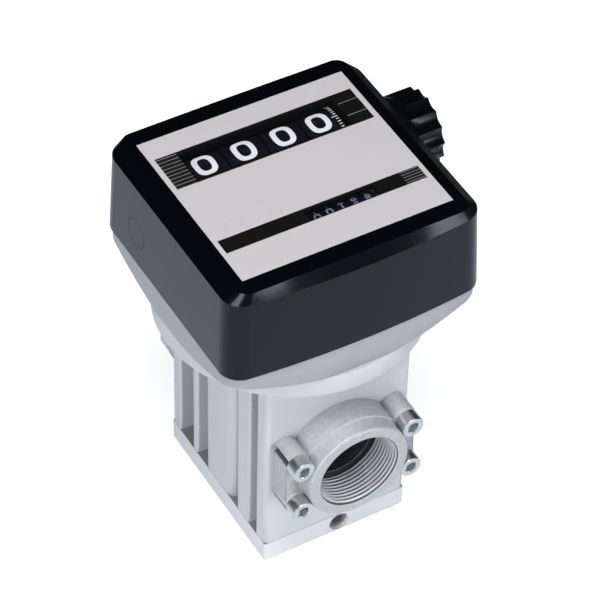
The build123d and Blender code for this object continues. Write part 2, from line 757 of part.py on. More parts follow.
# Register cover: a drafted skirt with bowed front and rear, a bevel and a flat platform for the dial
with BuildPart() as register_cover:
    add(cover_form(0, skirt_bottom, 0))
    add(cover_form(case_wall, skirt_bottom, case_wall), mode=Mode.SUBTRACT)
    with BuildSketch(Plane.XY.offset(skirt_bottom)):
        with Locations(*wall_screw_places):
            Circle(cover_boss_radius)
    extrude(amount=cover_boss_height)
    with BuildSketch(Plane.XY.offset(skirt_bottom)):
        with Locations(*wall_screw_places):
            Circle(small_screw_radius + fit_gap)
    extrude(amount=cover_screw_reach + seat_gap, mode=Mode.SUBTRACT)
    with BuildSketch(Plane.XY.offset(platform_top)):
        Rectangle(dial_width + 2 * fit_gap, dial_depth + 2 * fit_gap)
    extrude(amount=-dial_thickness, mode=Mode.SUBTRACT)
    with BuildSketch(Plane.XY.offset(platform_top)):
        for x, y, width, depth in windows:
            with Locations((x, y)):
                Rectangle(width + 2 * window_lap, depth + 2 * window_lap)
    extrude(amount=-case_wall, mode=Mode.SUBTRACT)
    with BuildSketch(across(cover_half_x)):
        Circle(knob_stem_radius + seat_gap)
    extrude(amount=-2 * case_wall, mode=Mode.SUBTRACT)
    with BuildSketch(across(-cover_half_x)):
        Circle(side_plug_radius)
    extrude(amount=2 * case_wall, mode=Mode.SUBTRACT)
save(register_cover, "register_cover")

with BuildPart() as side_plug:
    with BuildSketch(across(-cover_half_x)):
        Circle(side_plug_radius - side_plug_seam)
    extrude(amount=2 * case_wall)
    add(cover_form(0, skirt_bottom, 0), mode=Mode.INTERSECT)
save(side_plug, "side_plug")

# Dial plate let into the platform, and the clear lenses under its windows
with BuildPart() as dial_plate:
    with BuildSketch(Plane.XY.offset(platform_top - dial_thickness)):
        Rectangle(dial_width, dial_depth)
        for x, y, width, depth in windows:
            with Locations((x, y)):
                Rectangle(width, depth, mode=Mode.SUBTRACT)
    extrude(amount=dial_thickness)
save(dial_plate, "dial_plate")

for label, (x, y, width, depth) in zip(("counter_lens", "totaliser_lens"), windows):
    with BuildPart() as lens:
        with BuildSketch(Plane(origin=(x, y, platform_top - case_wall))):
            Rectangle(width + 2 * window_lap - 2 * fit_gap, depth + 2 * window_lap - 2 * fit_gap)
        extrude(amount=case_wall - dial_thickness)
    save(lens, label)

# Number wheels that turn on the reset shaft, the fastest one on the right
wheel_names = ("thousands_wheel", "hundreds_wheel", "tens_wheel", "units_wheel")
for index, label in enumerate(wheel_names):
    middle = units_x - number_pitch * (number_count - 1 - index)
    left_face = middle - number_width / 2
    with BuildPart() as number_wheel:
        with BuildSketch(across(left_face)):
            Circle(number_radius)
            Circle(number_radius - number_rim, mode=Mode.SUBTRACT)
        extrude(amount=number_width)
        with BuildSketch(across(middle - number_web / 2)):
            Circle(number_radius - number_rim / 2)
        extrude(amount=number_web)
        with BuildSketch(across(left_face)):
            Circle(number_hub)
        extrude(amount=number_width)
        if label == "units_wheel":
            with BuildSketch(across(middle)):
                Circle(sleeve_radius)
            extrude(amount=counter_gear_x + counter_gear_width - middle)
        with BuildSketch(across(left_face)):
            Circle(reset_shaft_radius + running_gap)
        extrude(amount=2 * number_width, mode=Mode.SUBTRACT)
    save(number_wheel, label)

# Worm wheel and counter gear on the sleeve of the units wheel
with BuildPart() as worm_wheel:
    with BuildSketch(across(worm_wheel_x)):
        points = []
        for tooth in range(worm_wheel_teeth):
            for turn, radius in ((0, worm_wheel_radius), (0.5, worm_wheel_radius - worm_wheel_tooth)):
                angle = radians(360 * (tooth + turn) / worm_wheel_teeth)
                points.append((radius * cos(angle), radius * sin(angle)))
        Polygon(*points, align=None)
        Circle(sleeve_radius + fit_gap, mode=Mode.SUBTRACT)
    extrude(amount=worm_wheel_width)
save(worm_wheel, "worm_wheel")

# The idler stands below the line from the counter to the totaliser and meshes with both of their gears
span_y = totaliser_y - counter_y
span_z = totaliser_z - counter_z
span = hypot(span_y, span_z)
train_module = 2 * hypot(span / 2, idler_drop) / (counter_teeth + idler_teeth)
idler_y = counter_y + span_y / 2 - idler_drop * span_z / span
idler_z = counter_z + span_z / 2 + idler_drop * span_y / span
to_idler = degrees(atan2(idler_z - counter_z, idler_y - counter_y))
to_totaliser = degrees(atan2(totaliser_z - idler_z, totaliser_y - idler_y))
counter_phase = to_idler
idler_phase = mating_phase(counter_phase, counter_teeth, idler_teeth, to_idler)
total_phase = mating_phase(idler_phase, idler_teeth, counter_teeth, to_totaliser)

with BuildPart() as counter_gear:
    with BuildSketch(across(counter_gear_x)):
        Polygon(*trapezoid_teeth(counter_teeth, train_module, counter_phase), align=None)
        Circle(sleeve_radius + fit_gap, mode=Mode.SUBTRACT)
    extrude(amount=counter_gear_width)
save(counter_gear, "counter_gear")

with BuildPart() as idler_gear:
    with BuildSketch(across(counter_gear_x, idler_y, idler_z)):
        Polygon(*trapezoid_teeth(idler_teeth, train_module, idler_phase), align=None)
        Circle(idler_pin_radius + running_gap, mode=Mode.SUBTRACT)
    extrude(amount=counter_gear_width)
save(idler_gear, "idler_gear")

with BuildPart() as idler_pin:
    with BuildSketch(across(counter_gear_x, idler_y, idler_z)):
        Circle(idler_pin_radius)
    extrude(amount=right_plate_x + plate_thickness - counter_gear_x)
save(idler_pin, "idler_pin")

# Totaliser: a thin shaft that carries its gear and the last wheel, with the other wheels free on it
with BuildPart() as totaliser_gear:
    with BuildSketch(across(counter_gear_x, totaliser_y, totaliser_z)):
        Polygon(*trapezoid_teeth(counter_teeth, train_module, total_phase), align=None)
        Circle(total_shaft_radius + fit_gap, mode=Mode.SUBTRACT)
    extrude(amount=counter_gear_width)
save(totaliser_gear, "totaliser_gear")

with BuildPart() as totaliser_shaft:
    with BuildSketch(across(left_plate_x, totaliser_y, totaliser_z)):
        Circle(total_shaft_radius)
    extrude(amount=right_plate_x + plate_thickness - left_plate_x)
save(totaliser_shaft, "totaliser_shaft")

for index in range(total_count):
    middle = total_x + total_pitch * (index - (total_count - 1) / 2)
    bore_gap = fit_gap if index == total_count - 1 else running_gap
    with BuildPart() as total_wheel:
        with BuildSketch(across(middle - total_width / 2, totaliser_y, totaliser_z)):
            Circle(total_radius)
            Circle(total_shaft_radius + bore_gap, mode=Mode.SUBTRACT)
        extrude(amount=total_width)
    save(total_wheel, f"totaliser_wheel_{index + 1}")

# Transfer pinions on their fixed shaft behind the number wheels
with BuildPart() as transfer_shaft:
    with BuildSketch(across(left_plate_x, transfer_y, transfer_z)):
        Circle(transfer_shaft_radius)
    extrude(amount=mid_plate_x + plate_thickness - left_plate_x)
save(transfer_shaft, "transfer_shaft")

for index in range(number_count - 1):
    middle = units_x - number_pitch * (index + 0.5)
    with BuildPart() as transfer_pinion:
        with BuildSketch(across(middle - transfer_width / 2, transfer_y, transfer_z)):
            Polygon(*trapezoid_teeth(transfer_teeth, transfer_module, 0), align=None)
            Circle(transfer_shaft_radius + running_gap, mode=Mode.SUBTRACT)
        extrude(amount=transfer_width)
    save(transfer_pinion, f"transfer_pinion_{index + 1}")

# Sheet frame: three upright plates with feet, arched over the first gear pair
for label, plate_x, inward in (("left_frame_plate", left_plate_x, 1), ("mid_frame_plate", mid_plate_x, -1),
                               ("right_frame_plate", right_plate_x, -1)):
    with BuildPart() as frame_plate:
        with BuildSketch(across(plate_x, 0, 0)):
            Polygon((plate_front, register_floor), (-arch_half_width, register_floor),
                    (-arch_half_width, arch_top), (arch_half_width, arch_top),
                    (arch_half_width, register_floor), (plate_rear, register_floor),
                    (plate_rear, arch_top), (transfer_y + pin_margin, transfer_z - pin_margin),
                    (transfer_y + pin_margin, transfer_z + pin_margin),
                    (plate_rear, counter_z + plate_margin),
                    (counter_y - plate_margin, counter_z + plate_margin),
                    (totaliser_y + plate_margin, totaliser_z + pin_margin),
                    (plate_front, totaliser_z + pin_margin), align=None)
        extrude(amount=plate_thickness)
        foot_x = plate_x + plate_thickness / 2 + inward * (plate_foot - plate_thickness) / 2
        with BuildSketch(Plane.XY.offset(register_floor)):
            with Locations((foot_x, (plate_front - arch_half_width) / 2)):
                Rectangle(plate_foot, -plate_front - arch_half_width)
            with Locations((foot_x, (plate_rear + arch_half_width) / 2)):
                Rectangle(plate_foot, plate_rear - arch_half_width)
        extrude(amount=plate_thickness)
        if label == "mid_frame_plate":
            with BuildSketch(Plane.XY.offset(tab_z)):
                with Locations(((mid_plate_x + worm_x + tab_half_width) / 2, worm_y)):
                    Rectangle(worm_x + tab_half_width - mid_plate_x, 2 * tab_half_width)
            extrude(amount=plate_thickness)
            with BuildSketch(Plane.XY.offset(tab_z)):
                with Locations((worm_x, worm_y)):
                    Circle(worm_shaft_radius + running_gap)
            extrude(amount=plate_thickness, mode=Mode.SUBTRACT)
        counter_bore = reset_shaft_radius + running_gap
        if label == "mid_frame_plate":
            counter_bore = sleeve_radius + seat_gap
        with BuildSketch(across(plate_x, 0, 0)):
            with Locations((counter_y, counter_z)):
                Circle(counter_bore)
            with Locations((totaliser_y, totaliser_z)):
                Circle(total_shaft_radius + running_gap)
            with Locations((transfer_y, transfer_z)):
                Circle(transfer_shaft_radius + fit_gap)
            with Locations((idler_y, idler_z)):
                Circle(idler_pin_radius + fit_gap)
        extrude(amount=plate_thickness, mode=Mode.SUBTRACT)
        with BuildSketch(Plane.XY.offset(register_floor)):
            with Locations(*foot_screw_places):
                Circle(small_screw_radius + fit_gap)
        extrude(amount=plate_thickness, mode=Mode.SUBTRACT)
    save(frame_plate, label)

# Small pan-head screws: under the frame's feet, in the register floor and below the cover's corners
with BuildPart() as frame_screws:
    with BuildSketch(Plane.XY.offset(register_floor + plate_thickness)):
        with Locations(*foot_screw_places):
            Circle(small_screw_head_radius)
    extrude(amount=small_screw_head_height)
    with BuildSketch(Plane.XY.offset(register_floor + plate_thickness)):
        with Locations(*foot_screw_places):
            Circle(small_screw_radius)
    extrude(amount=-plate_thickness - case_wall + fit_gap)
save(frame_screws, "frame_screws")

with BuildPart() as register_base_screws:
    with BuildSketch(Plane.XY.offset(register_floor)):
        with Locations(*floor_screw_places):
            Circle(small_screw_head_radius)
    extrude(amount=small_screw_head_height)
    with BuildSketch(Plane.XY.offset(register_floor)):
        with Locations(*floor_screw_places):
            Circle(small_screw_radius)
    extrude(amount=-case_wall - small_screw_reach + seat_gap)
save(register_base_screws, "register_base_screws")

with BuildPart() as cover_screws:
    with BuildSketch(Plane.XY.offset(skirt_bottom - cover_screw_seat)):
        with Locations(*wall_screw_places):
            Circle(small_screw_head_radius)
    extrude(amount=-small_screw_head_height)
    with BuildSketch(Plane.XY.offset(skirt_bottom - cover_screw_seat)):
        with Locations(*wall_screw_places):
            Circle(small_screw_radius)
    extrude(amount=cover_screw_seat + cover_screw_reach)
save(cover_screws, "register_cover_screws")

# Reset shaft and the fluted knob on its right end
with BuildPart() as reset_shaft:
    with BuildSketch(across(left_plate_x)):
        Circle(reset_shaft_radius)
    extrude(amount=knob_end_x - knob_shaft_end - left_plate_x)
save(reset_shaft, "reset_shaft")

with BuildPart() as reset_knob:
    with BuildSketch(across(knob_x)):
        Circle(knob_radius)
    extrude(amount=knob_end_x - knob_x)
    chamfer(reset_knob.faces().sort_by(Axis.X)[-1].edges(), knob_end_chamfer)
    with BuildSketch(across(knob_x + knob_collar)):
        with PolarLocations(knob_radius - knob_flute_depth + knob_flute_radius, knob_lobes):
            Circle(knob_flute_radius)
    extrude(amount=knob_end_x - knob_x - knob_collar, mode=Mode.SUBTRACT)
    with BuildSketch(across(knob_x)):
        Circle(knob_stem_radius)
    extrude(amount=-knob_stem_length)
    with BuildSketch(across(knob_x - knob_stem_length)):
        Circle(reset_shaft_radius + fit_gap)
    extrude(amount=knob_end_x - knob_shaft_end - knob_x + knob_stem_length, mode=Mode.SUBTRACT)
save(reset_knob, "reset_knob")
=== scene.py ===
import json
from math import ceil, cos, pi, radians, sin, tau

import bmesh
import bpy
from mathutils import Matrix, Vector


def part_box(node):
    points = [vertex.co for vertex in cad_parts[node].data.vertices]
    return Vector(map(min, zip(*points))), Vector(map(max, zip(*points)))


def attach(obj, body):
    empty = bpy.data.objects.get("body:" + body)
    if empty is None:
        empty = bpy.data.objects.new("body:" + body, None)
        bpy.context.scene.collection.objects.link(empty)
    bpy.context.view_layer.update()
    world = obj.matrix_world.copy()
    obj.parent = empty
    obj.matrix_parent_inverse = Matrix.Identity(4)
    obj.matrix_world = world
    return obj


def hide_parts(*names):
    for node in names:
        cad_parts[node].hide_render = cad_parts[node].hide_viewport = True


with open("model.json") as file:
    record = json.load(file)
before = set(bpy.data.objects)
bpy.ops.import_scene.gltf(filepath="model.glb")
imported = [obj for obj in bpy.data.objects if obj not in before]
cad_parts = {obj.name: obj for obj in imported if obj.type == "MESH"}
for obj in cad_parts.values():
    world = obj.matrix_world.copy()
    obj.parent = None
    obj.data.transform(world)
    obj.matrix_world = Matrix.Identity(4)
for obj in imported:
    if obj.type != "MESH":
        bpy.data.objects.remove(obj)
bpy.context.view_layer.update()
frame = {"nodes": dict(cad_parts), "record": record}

MM = 0.001

# Places and sizes of the meter, in millimetres, as the model has them
BASE_TOP = 14.2
PORT_HEIGHT = 73.5
PORT_FACE = 76.5
BOLT_SPACING_X = 66.6
BOLT_SPACING_Z = 31.4
BOLT_SEAT = 67.5
BOLT_HEAD_RADIUS = 6.5
BOLT_HEAD_HEIGHT = 8.0
BOLT_HEX = 6.0
BOLT_SHANK_RADIUS = 4.0
BOLT_SHANK_LENGTH = 23.5
DRAIN = (3.0, 7.3)
# Radii over which the painted shade in the drain recess fades out
DRAIN_SHADE_FADE = (2.0, 5.6)
THREAD_RADIUS = 23.86
THREAD_DEPTH = 1.35
THREAD_PITCH = 2.309
THREAD_LENGTH = 21.4
THREAD_START = PORT_FACE - 0.3
THREAD_SKIN = 0.02
# Depths in from the thread's radius where the painted shade of its grooves starts and where it is full
THREAD_UNSHADED_IN = 0.80
THREAD_SHADE_IN = 0.15
COUNTER_Y = 31.4
COUNTER_Z = 192.4
COUNTER_RADIUS = 30.5
COUNTER_X = (-34.65, -11.55, 11.55, 34.65)
COUNTER_DIGIT = (12.4, 14.2)
UNITS_SHIFT = -1.8
TOTAL_Y = -28.7
TOTAL_Z = 213.6
TOTAL_RADIUS = 9.0
TOTAL_X = (-2.9, 4.55, 12.0, 19.45, 26.9)
TOTAL_DIGIT = (3.9, 5.0)
TOTAL_READING = (0.3, 0.2, 1.3, 5.6, 8.2)
PRINT_LIFT = 0.07
PRINT_ROWS = 14
ZERO_STROKES = (0.24, 0.17)
GLYPH_WEIGHT = 0.02
TICK_LENGTHS = (3.4, 2.6, 1.8)
TICK_WIDTH = 0.45
TICK_EDGE = 9.6
DIAL_TOP = 227.5
KNOB_RADIUS = 22.2
KNOB_LENGTH = 23.2
KNOB_STEM = 7.0
KNOB_FLUTES = 15
KNOB_FLUTE_DEPTH = 2.1
KNOB_FLUTE_POINTS = 14

# Where an edge counts as sharp, in degrees
SHARP_ANGLE = 35


# Shader sums written as Python expressions

class Value:
    """A shader output that takes part in sums as a number does."""

    def __init__(self, finish, socket):
        self.finish = finish
        self.socket = socket

    def sum(self, operation, *numbers):
        return self.finish.node("Math", {"operation": operation}, dict(enumerate(numbers)))

    def __add__(self, other):
        return self.sum("ADD", self, other)

    def __sub__(self, other):
        return self.sum("SUBTRACT", self, other)

    def __rsub__(self, other):
        return self.sum("SUBTRACT", other, self)

    def __mul__(self, other):
        return self.sum("MULTIPLY", self, other)

    def __truediv__(self, other):
        return self.sum("DIVIDE", self, other)

    def __mod__(self, other):
        return self.sum("FLOORED_MODULO", self, other)

    def __pow__(self, other):
        return self.sum("POWER", self, other)

    def __lt__(self, other):
        return self.sum("LESS_THAN", self, other)

    def __gt__(self, other):
        return self.sum("GREATER_THAN", self, other)

    def __abs__(self):
        return self.sum("ABSOLUTE", self)

    __radd__ = __add__


class Nodes:
    """The nodes of one material or of the world."""

    def __init__(self, owner):
        owner.use_nodes = True
        self.tree = owner.node_tree
        self.tree.nodes.clear()

    def node(self, kind, settings=None, sockets=None, out=0):
        """Make a node: its settings come first, then the numbers or links of its sockets."""
        made = self.tree.nodes.new("ShaderNode" + kind)
        for name, setting in (settings or {}).items():
            setattr(made, name, setting)
        for name, value in (sockets or {}).items():
            if isinstance(value, Value):
                self.tree.links.new(value.socket, made.inputs[name])
            else:
                made.inputs[name].default_value = value
        return Value(self, made.outputs[out])

    def close(self, shader, kind="OutputMaterial"):
        """Put a shader on the output."""
        out = self.tree.nodes.new("ShaderNode" + kind)
        self.tree.links.new(shader.socket, out.inputs["Surface"])


class Finish(Nodes):
    """One material, with places on the piece in x, y and z."""

    def __init__(self, name):
        self.material = bpy.data.materials.new(name)
        super().__init__(self.material)
        self.place = self.node("TexCoord", out="Object")
        self.x, self.y, self.z = (
            self.node("SeparateXYZ", {}, {"Vector": self.place}, axis) for axis in "XYZ")

    def mix(self, share, low, high):
        """Blend two colours."""
        colours = [(*c, 1.0) if isinstance(c, tuple) and len(c) == 3 else c for c in (low, high)]
        return self.node("Mix", {"data_type": "RGBA"}, {0: share, 6: colours[0], 7: colours[1]}, 2)

    def noise(self, scale, detail=2.0, roughness=0.5, stretch=(1.0, 1.0, 1.0)):
        """Noise over the piece, from 0 to 1. Scale counts its features per metre."""
        place = self.node("Mapping", {}, {"Vector": self.place, "Scale": stretch})
        sockets = {"Vector": place, "Scale": scale, "Detail": detail, "Roughness": roughness}
        return self.node("TexNoise", {}, sockets)

    def bump(self, height, distance, strength=1.0):
        """A normal raised by height, which runs from 0 to 1 over distance in metres."""
        return self.node("Bump", {}, {"Height": height, "Distance": distance, "Strength": strength})

    def surface(self, **sockets):
        """Principled surface on the material's output. Underscores stand for spaces in socket names."""
        named = {name.replace("_", " "): value for name, value in sockets.items()}
        for name in ("Base Color", "Specular Tint"):
            if isinstance(named.get(name), tuple):
                named[name] = (*named[name], 1.0)
        self.close(self.node("BsdfPrincipled", {}, named))

    def between(self, value, low, high):
        """1 where the value lies between low and high, else 0."""
        return (value > low) * (value < high)


# Finishes of the meter

# Clear parts of the windows: left, right, low and high
CLEAR_AREAS = ((-44.8, 44.8, 19.2, 38.4), (-7.0, 31.0, -34.4, -27.4))

# Painted shade in the slot beside each flange boss: across and up from the port's axis, and out from the middle
SLOT_SHADE_ACROSS = (33.4, 39.4)
SLOT_SHADE_UP = (15.5, 19.8)
SLOT_SHADE_OUT = (53.4, 66.6)

# Dark line where the body stands on the base
JOINT_HALF_WIDTH = 0.22


def silver_paint(name, colour, shade, roughness, cast=0.0):
    """Satin silver-grey coat over metal, with bare metal in the ports and the ducts behind them, whose colour is
    darkened there as painted shade; painted shade also darkens the slot beside each flange boss.
    Cast is the share of the coarse skin that a sand casting keeps."""
    f = Finish(name)
    cloud = f.noise(38.0, 3.0)
    grain = f.noise(1500.0, 2.0, 0.6)
    skin = f.noise(430.0, 4.0, 0.65)
    across, up = abs(f.x), abs(f.z - PORT_HEIGHT * MM)
    from_axis = (across * across + up * up) ** 0.5
    # Bare metal of the bore is real; its colour darkened there is painted shade
    bare_bore_and_shade = (from_axis < (THREAD_RADIUS + 0.2) * MM) * (abs(f.y) < (PORT_FACE - 0.4) * MM)
    # Painted shade: dark grey put in the slot beside each flange boss
    slot_shade = (f.between(across, *(edge * MM for edge in SLOT_SHADE_ACROSS))
             * f.between(up, *(edge * MM for edge in SLOT_SHADE_UP))
             * f.between(abs(f.y), *(edge * MM for edge in SLOT_SHADE_OUT)))
    joint = f.between(f.z, (BASE_TOP - JOINT_HALF_WIDTH) * MM, (BASE_TOP + JOINT_HALF_WIDTH) * MM)
    coat = f.mix(cloud, colour, shade)
    pitted = f.mix((0.56 - skin) * 2.6 * cast, coat, tuple(c * 0.5 for c in colour))
    lined = f.mix(joint, pitted, (0.26, 0.265, 0.275))
    f.surface(
        # The dark grey is painted shade, in the bore and in the slot beside each flange boss
        Base_Color=f.mix(bare_bore_and_shade + slot_shade, lined, (0.12, 0.125, 0.135)),
        Metallic=0.25 + bare_bore_and_shade * 0.45,
        Roughness=roughness + (grain - 0.5) * 0.12 + (cloud - 0.5) * 0.06 - bare_bore_and_shade * 0.1,
        Normal=f.bump(grain * (1 - cast) + skin * 3.0 * cast, 0.00005, 0.5),
    )
    return f.material


def black_moulding(name, colour, roughness, grain_depth):
    """Smooth black moulded plastic with a very fine grain and a few faint handling marks."""
    f = Finish(name)
    grain = f.noise(2600.0, 2.0, 0.5)
    smear = f.noise(26.0, 3.0, 0.6, (1.0, 1.0, 0.4))
    f.surface(
        Base_Color=f.mix(smear, colour, tuple(c * 1.3 for c in colour)),
        Roughness=roughness + (smear - 0.5) * 0.08,
        Specular_IOR_Level=0.26,
        Specular_Tint=(0.80, 0.92, 1.0),
        Normal=f.bump(grain, grain_depth, 0.15),
    )
    return f.material


def bright_zinc(name):
    """Bright plated steel of the screws, with cloudy plating."""
    f = Finish(name)
    cloud = f.noise(420.0, 3.0, 0.6)
    f.surface(
        Base_Color=f.mix(cloud, (0.50, 0.52, 0.51), (0.68, 0.70, 0.685)),
        Metallic=1.0,
        Roughness=0.24 + cloud * 0.16,
        Normal=f.bump(f.noise(1800.0), 0.00003, 0.4),
    )
    return f.material


def turned_metal(name, colour, shade, roughness):
    """Machined metal with fine marks along and across the cut."""
    f = Finish(name)
    marks = f.noise(240.0, 4.0, 0.7, (14.0, 1.0, 1.0))
    cross = f.noise(300.0, 3.0, 0.6, (1.0, 1.0, 12.0))
    f.surface(
        Base_Color=f.mix(marks, colour, shade),
        Metallic=1.0,
        Roughness=roughness + cross * 0.15,
        Normal=f.bump(marks * 0.5 + cross * 0.5, 0.00004, 0.4),
    )
    return f.material


def cut_thread(name):
    """Bright cut crests of the pipe thread, with painted shade darkening the bottoms of its grooves."""
    f = Finish(name)
    marks = f.noise(420.0, 3.0, 0.6, (1.0, 12.0, 1.0))
    from_axis = (f.x * f.x + (f.z - PORT_HEIGHT * MM) ** 2.0) ** 0.5
    # Painted shade: near black towards the bottoms of the thread's grooves
    root_shade = f.node("MapRange", {"interpolation_type": "SMOOTHSTEP"},
                  {"Value": from_axis, "From Min": (THREAD_RADIUS - THREAD_UNSHADED_IN) * MM,
                   "From Max": (THREAD_RADIUS - THREAD_SHADE_IN) * MM})
    crest = f.mix(marks, (0.50, 0.505, 0.54), (0.60, 0.605, 0.64))
    f.surface(
        Base_Color=f.mix(root_shade, crest, (0.090, 0.094, 0.105)),
        Metallic=0.22,
        Roughness=0.40 + marks * 0.12,
        Normal=f.bump(marks, 0.00003, 0.4),
    )
    return f.material


def moulded_nylon(name):
    """Natural moulded plastic of the small gears."""
    f = Finish(name)
    cloud = f.noise(90.0, 3.0)
    f.surface(
        Base_Color=f.mix(cloud, (0.66, 0.64, 0.58), (0.74, 0.72, 0.67)),
        Roughness=0.42 + cloud * 0.12,
        Subsurface_Weight=0.08,
        Normal=f.bump(f.noise(1400.0), 0.00003, 0.4),
    )
    return f.material


def black_rubber(name):
    """Matt black rubber of the seals."""
    f = Finish(name)
    grain = f.noise(1700.0, 3.0, 0.6)
    f.surface(
        Base_Color=f.mix(grain, (0.012, 0.012, 0.012), (0.030, 0.030, 0.031)),
        Roughness=0.72 + grain * 0.15,
        Normal=f.bump(grain, 0.00006, 0.5),
    )
    return f.material


def plug_steel(name):
    """Dull brownish plug in the drain bore, with painted shade darkening the middle of its recess."""
    f = Finish(name)
    cloud = f.noise(300.0, 4.0, 0.65)
    across, up = f.x - DRAIN[0] * MM, f.z - DRAIN[1] * MM
    # Painted shade: near black in the middle of the recess, fading to the plug's own brown towards its edge
    recess_shade_fade = f.node("MapRange", {"interpolation_type": "SMOOTHSTEP"},
                 {"Value": (across * across + up * up) ** 0.5,
                  "From Min": DRAIN_SHADE_FADE[0] * MM, "From Max": DRAIN_SHADE_FADE[1] * MM})
    f.surface(
        Base_Color=f.mix(recess_shade_fade, (0.035, 0.030, 0.028), f.mix(cloud, (0.16, 0.135, 0.12), (0.34, 0.30, 0.275))),
        Metallic=0.55,
        Roughness=0.42 + cloud * 0.2,
        Normal=f.bump(cloud, 0.00008, 0.5),
    )
    return f.material


def clear_window(name):
    """Clear plastic of the windows with a soft gloss, printed black at its margins."""
    f = Finish(name)
    x, y = f.x / MM, f.y / MM
    gloss = f.node("BsdfGlossy", {}, {"Color": (1, 1, 1, 1), "Roughness": 0.08})
    clear = f.node("BsdfTransparent", {}, {"Color": (1, 1, 1, 1)})
    slant = f.node("LayerWeight", {}, {"Blend": 0.08}, "Facing")
    lens = f.node("MixShader", {}, {0: slant, 1: clear, 2: gloss})
    ink = f.node("BsdfDiffuse", {}, {"Color": (0.006, 0.006, 0.007, 1)})
    open_areas = 0.0
    for left, right, low, high in CLEAR_AREAS:
        open_areas = f.between(x, left, right) * f.between(y, low, high) + open_areas
    f.close(f.node("MixShader", {}, {0: open_areas, 1: ink, 2: lens}))
    f.material.blend_method = "BLEND"
    return f.material


# Printed bands of the dial round the two windows, and thin lines: left, right, low and high.
# The line patterns of the bands give left, right, pitch and width
UPPER_BAND = (-58.0, 58.0, 16.8, 42.2)
LOWER_BAND = (-58.4, 58.4, -35.6, -25.7)
UPPER_LINES = (-58.0, -46.0, 2.65, 0.42)
LOWER_LINES = (47.0, 58.4, 2.0, 0.35)
THIN_LINES = ((46.3, 58.0, 34.3, 34.65), (46.3, 58.0, 24.2, 24.6))


def printed_dial(name):
    """Silver-grey dial with two printed black bands and plain light lines at their ends."""
    f = Finish(name)
    x, y = f.x / MM, f.y / MM

    def field(left, right, low, high):
        return f.between(x, left, right) * f.between(y, low, high)

    bands = field(*UPPER_BAND) + field(*LOWER_BAND)
    left, right, pitch, width = UPPER_LINES
    upper_lines = field(left, right, *UPPER_BAND[2:]) * (((y - UPPER_BAND[2]) % pitch) < width)
    left, right, pitch, width = LOWER_LINES
    lower_lines = field(left, right, *LOWER_BAND[2:]) * (((y - LOWER_BAND[2] - pitch / 2) % pitch) < width)
    lines = upper_lines + lower_lines
    for edges in THIN_LINES:
        lines = lines + field(*edges)
    fine = f.noise(900.0, 3.0, 0.6)
    silver = f.mix(fine, (0.62, 0.60, 0.615), (0.68, 0.66, 0.675))
    black = f.mix(fine, (0.0050, 0.0047, 0.0045), (0.0085, 0.0080, 0.0078))
    printed = f.mix(bands, silver, black)
    top = f.z > (DIAL_TOP - 0.2) * MM
    f.surface(
        Base_Color=f.mix(top, (0.008, 0.008, 0.008), f.mix(lines, printed, (0.30, 0.30, 0.31))),
        Roughness=0.42 - bands * 0.04 + fine * 0.06,
        Specular_IOR_Level=0.25,
        Normal=f.bump(fine, 0.00002, 0.3),
    )
    return f.material


def wheel_plastic(name):
    """Navy-black moulded number wheel."""
    f = Finish(name)
    cloud = f.noise(160.0, 2.0)
    f.surface(
        Base_Color=f.mix(cloud, (0.0030, 0.0022, 0.0090), (0.0050, 0.0040, 0.0140)),
        Roughness=0.42 + cloud * 0.08,
        Specular_IOR_Level=0.15,
        Normal=f.bump(f.noise(700.0), 0.00001, 0.2),
    )
    return f.material


def digit_print(name, colour, shade, glow=0.0):
    """Slightly bluish print of the numbers, a little uneven as hot-stamped foil is; glow gives the print a faint
    painted light of its own.
    """
    f = Finish(name)
    cloud = f.noise(320.0, 3.0)
    f.surface(
        Base_Color=f.mix(cloud, colour, shade),
        Roughness=0.48 + cloud * 0.1,
        Normal=f.bump(cloud, 0.00001, 0.3),
        # Painted light: the print shines by itself with the strength glow
        Emission_Color=(*shade, 1.0),
        Emission_Strength=glow,
    )
    return f.material


# Mesh helpers

def piece_from(bm, name, material, body):
    """Finish a mesh made in millimetres, and let it ride on its body."""
    bmesh.ops.recalc_face_normals(bm, faces=bm.faces)
    bm.transform(Matrix.Scale(MM, 4))
    mesh = bpy.data.meshes.new(name)
    bm.to_mesh(mesh)
    bm.free()
    piece = bpy.data.objects.new(name, mesh)
    bpy.context.scene.collection.objects.link(piece)
    mesh.materials.append(material)
    mesh.shade_smooth()
    mesh.set_sharp_from_angle(angle=radians(SHARP_ANGLE))
    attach(piece, body)
    return piece


def lathe_rows(bm, rows, closed_ends=True):
    """Join rings of points into a skin. Every ring has the same number of points."""
    rings = [[bm.verts.new(point) for point in row] for row in rows]
    count = len(rings[0])
    for lower, upper in zip(rings, rings[1:]):
        for i in range(count):
            j = (i + 1) % count
            bm.faces.new((lower[i], lower[j], upper[j], upper[i]))
    if closed_ends:
        bm.faces.new(rings[0][::-1])
        bm.faces.new(rings[-1])
    return rings


def close_tube(bm, rows):
    """Join rings of points into a skin, and the last ring to the first."""
    first, *_, last = lathe_rows(bm, rows, closed_ends=False)
    for i in range(len(first)):
        j = (i + 1) % len(first)
        bm.faces.new((last[i], last[j], first[j], first[i]))


# Pipe thread in the ports

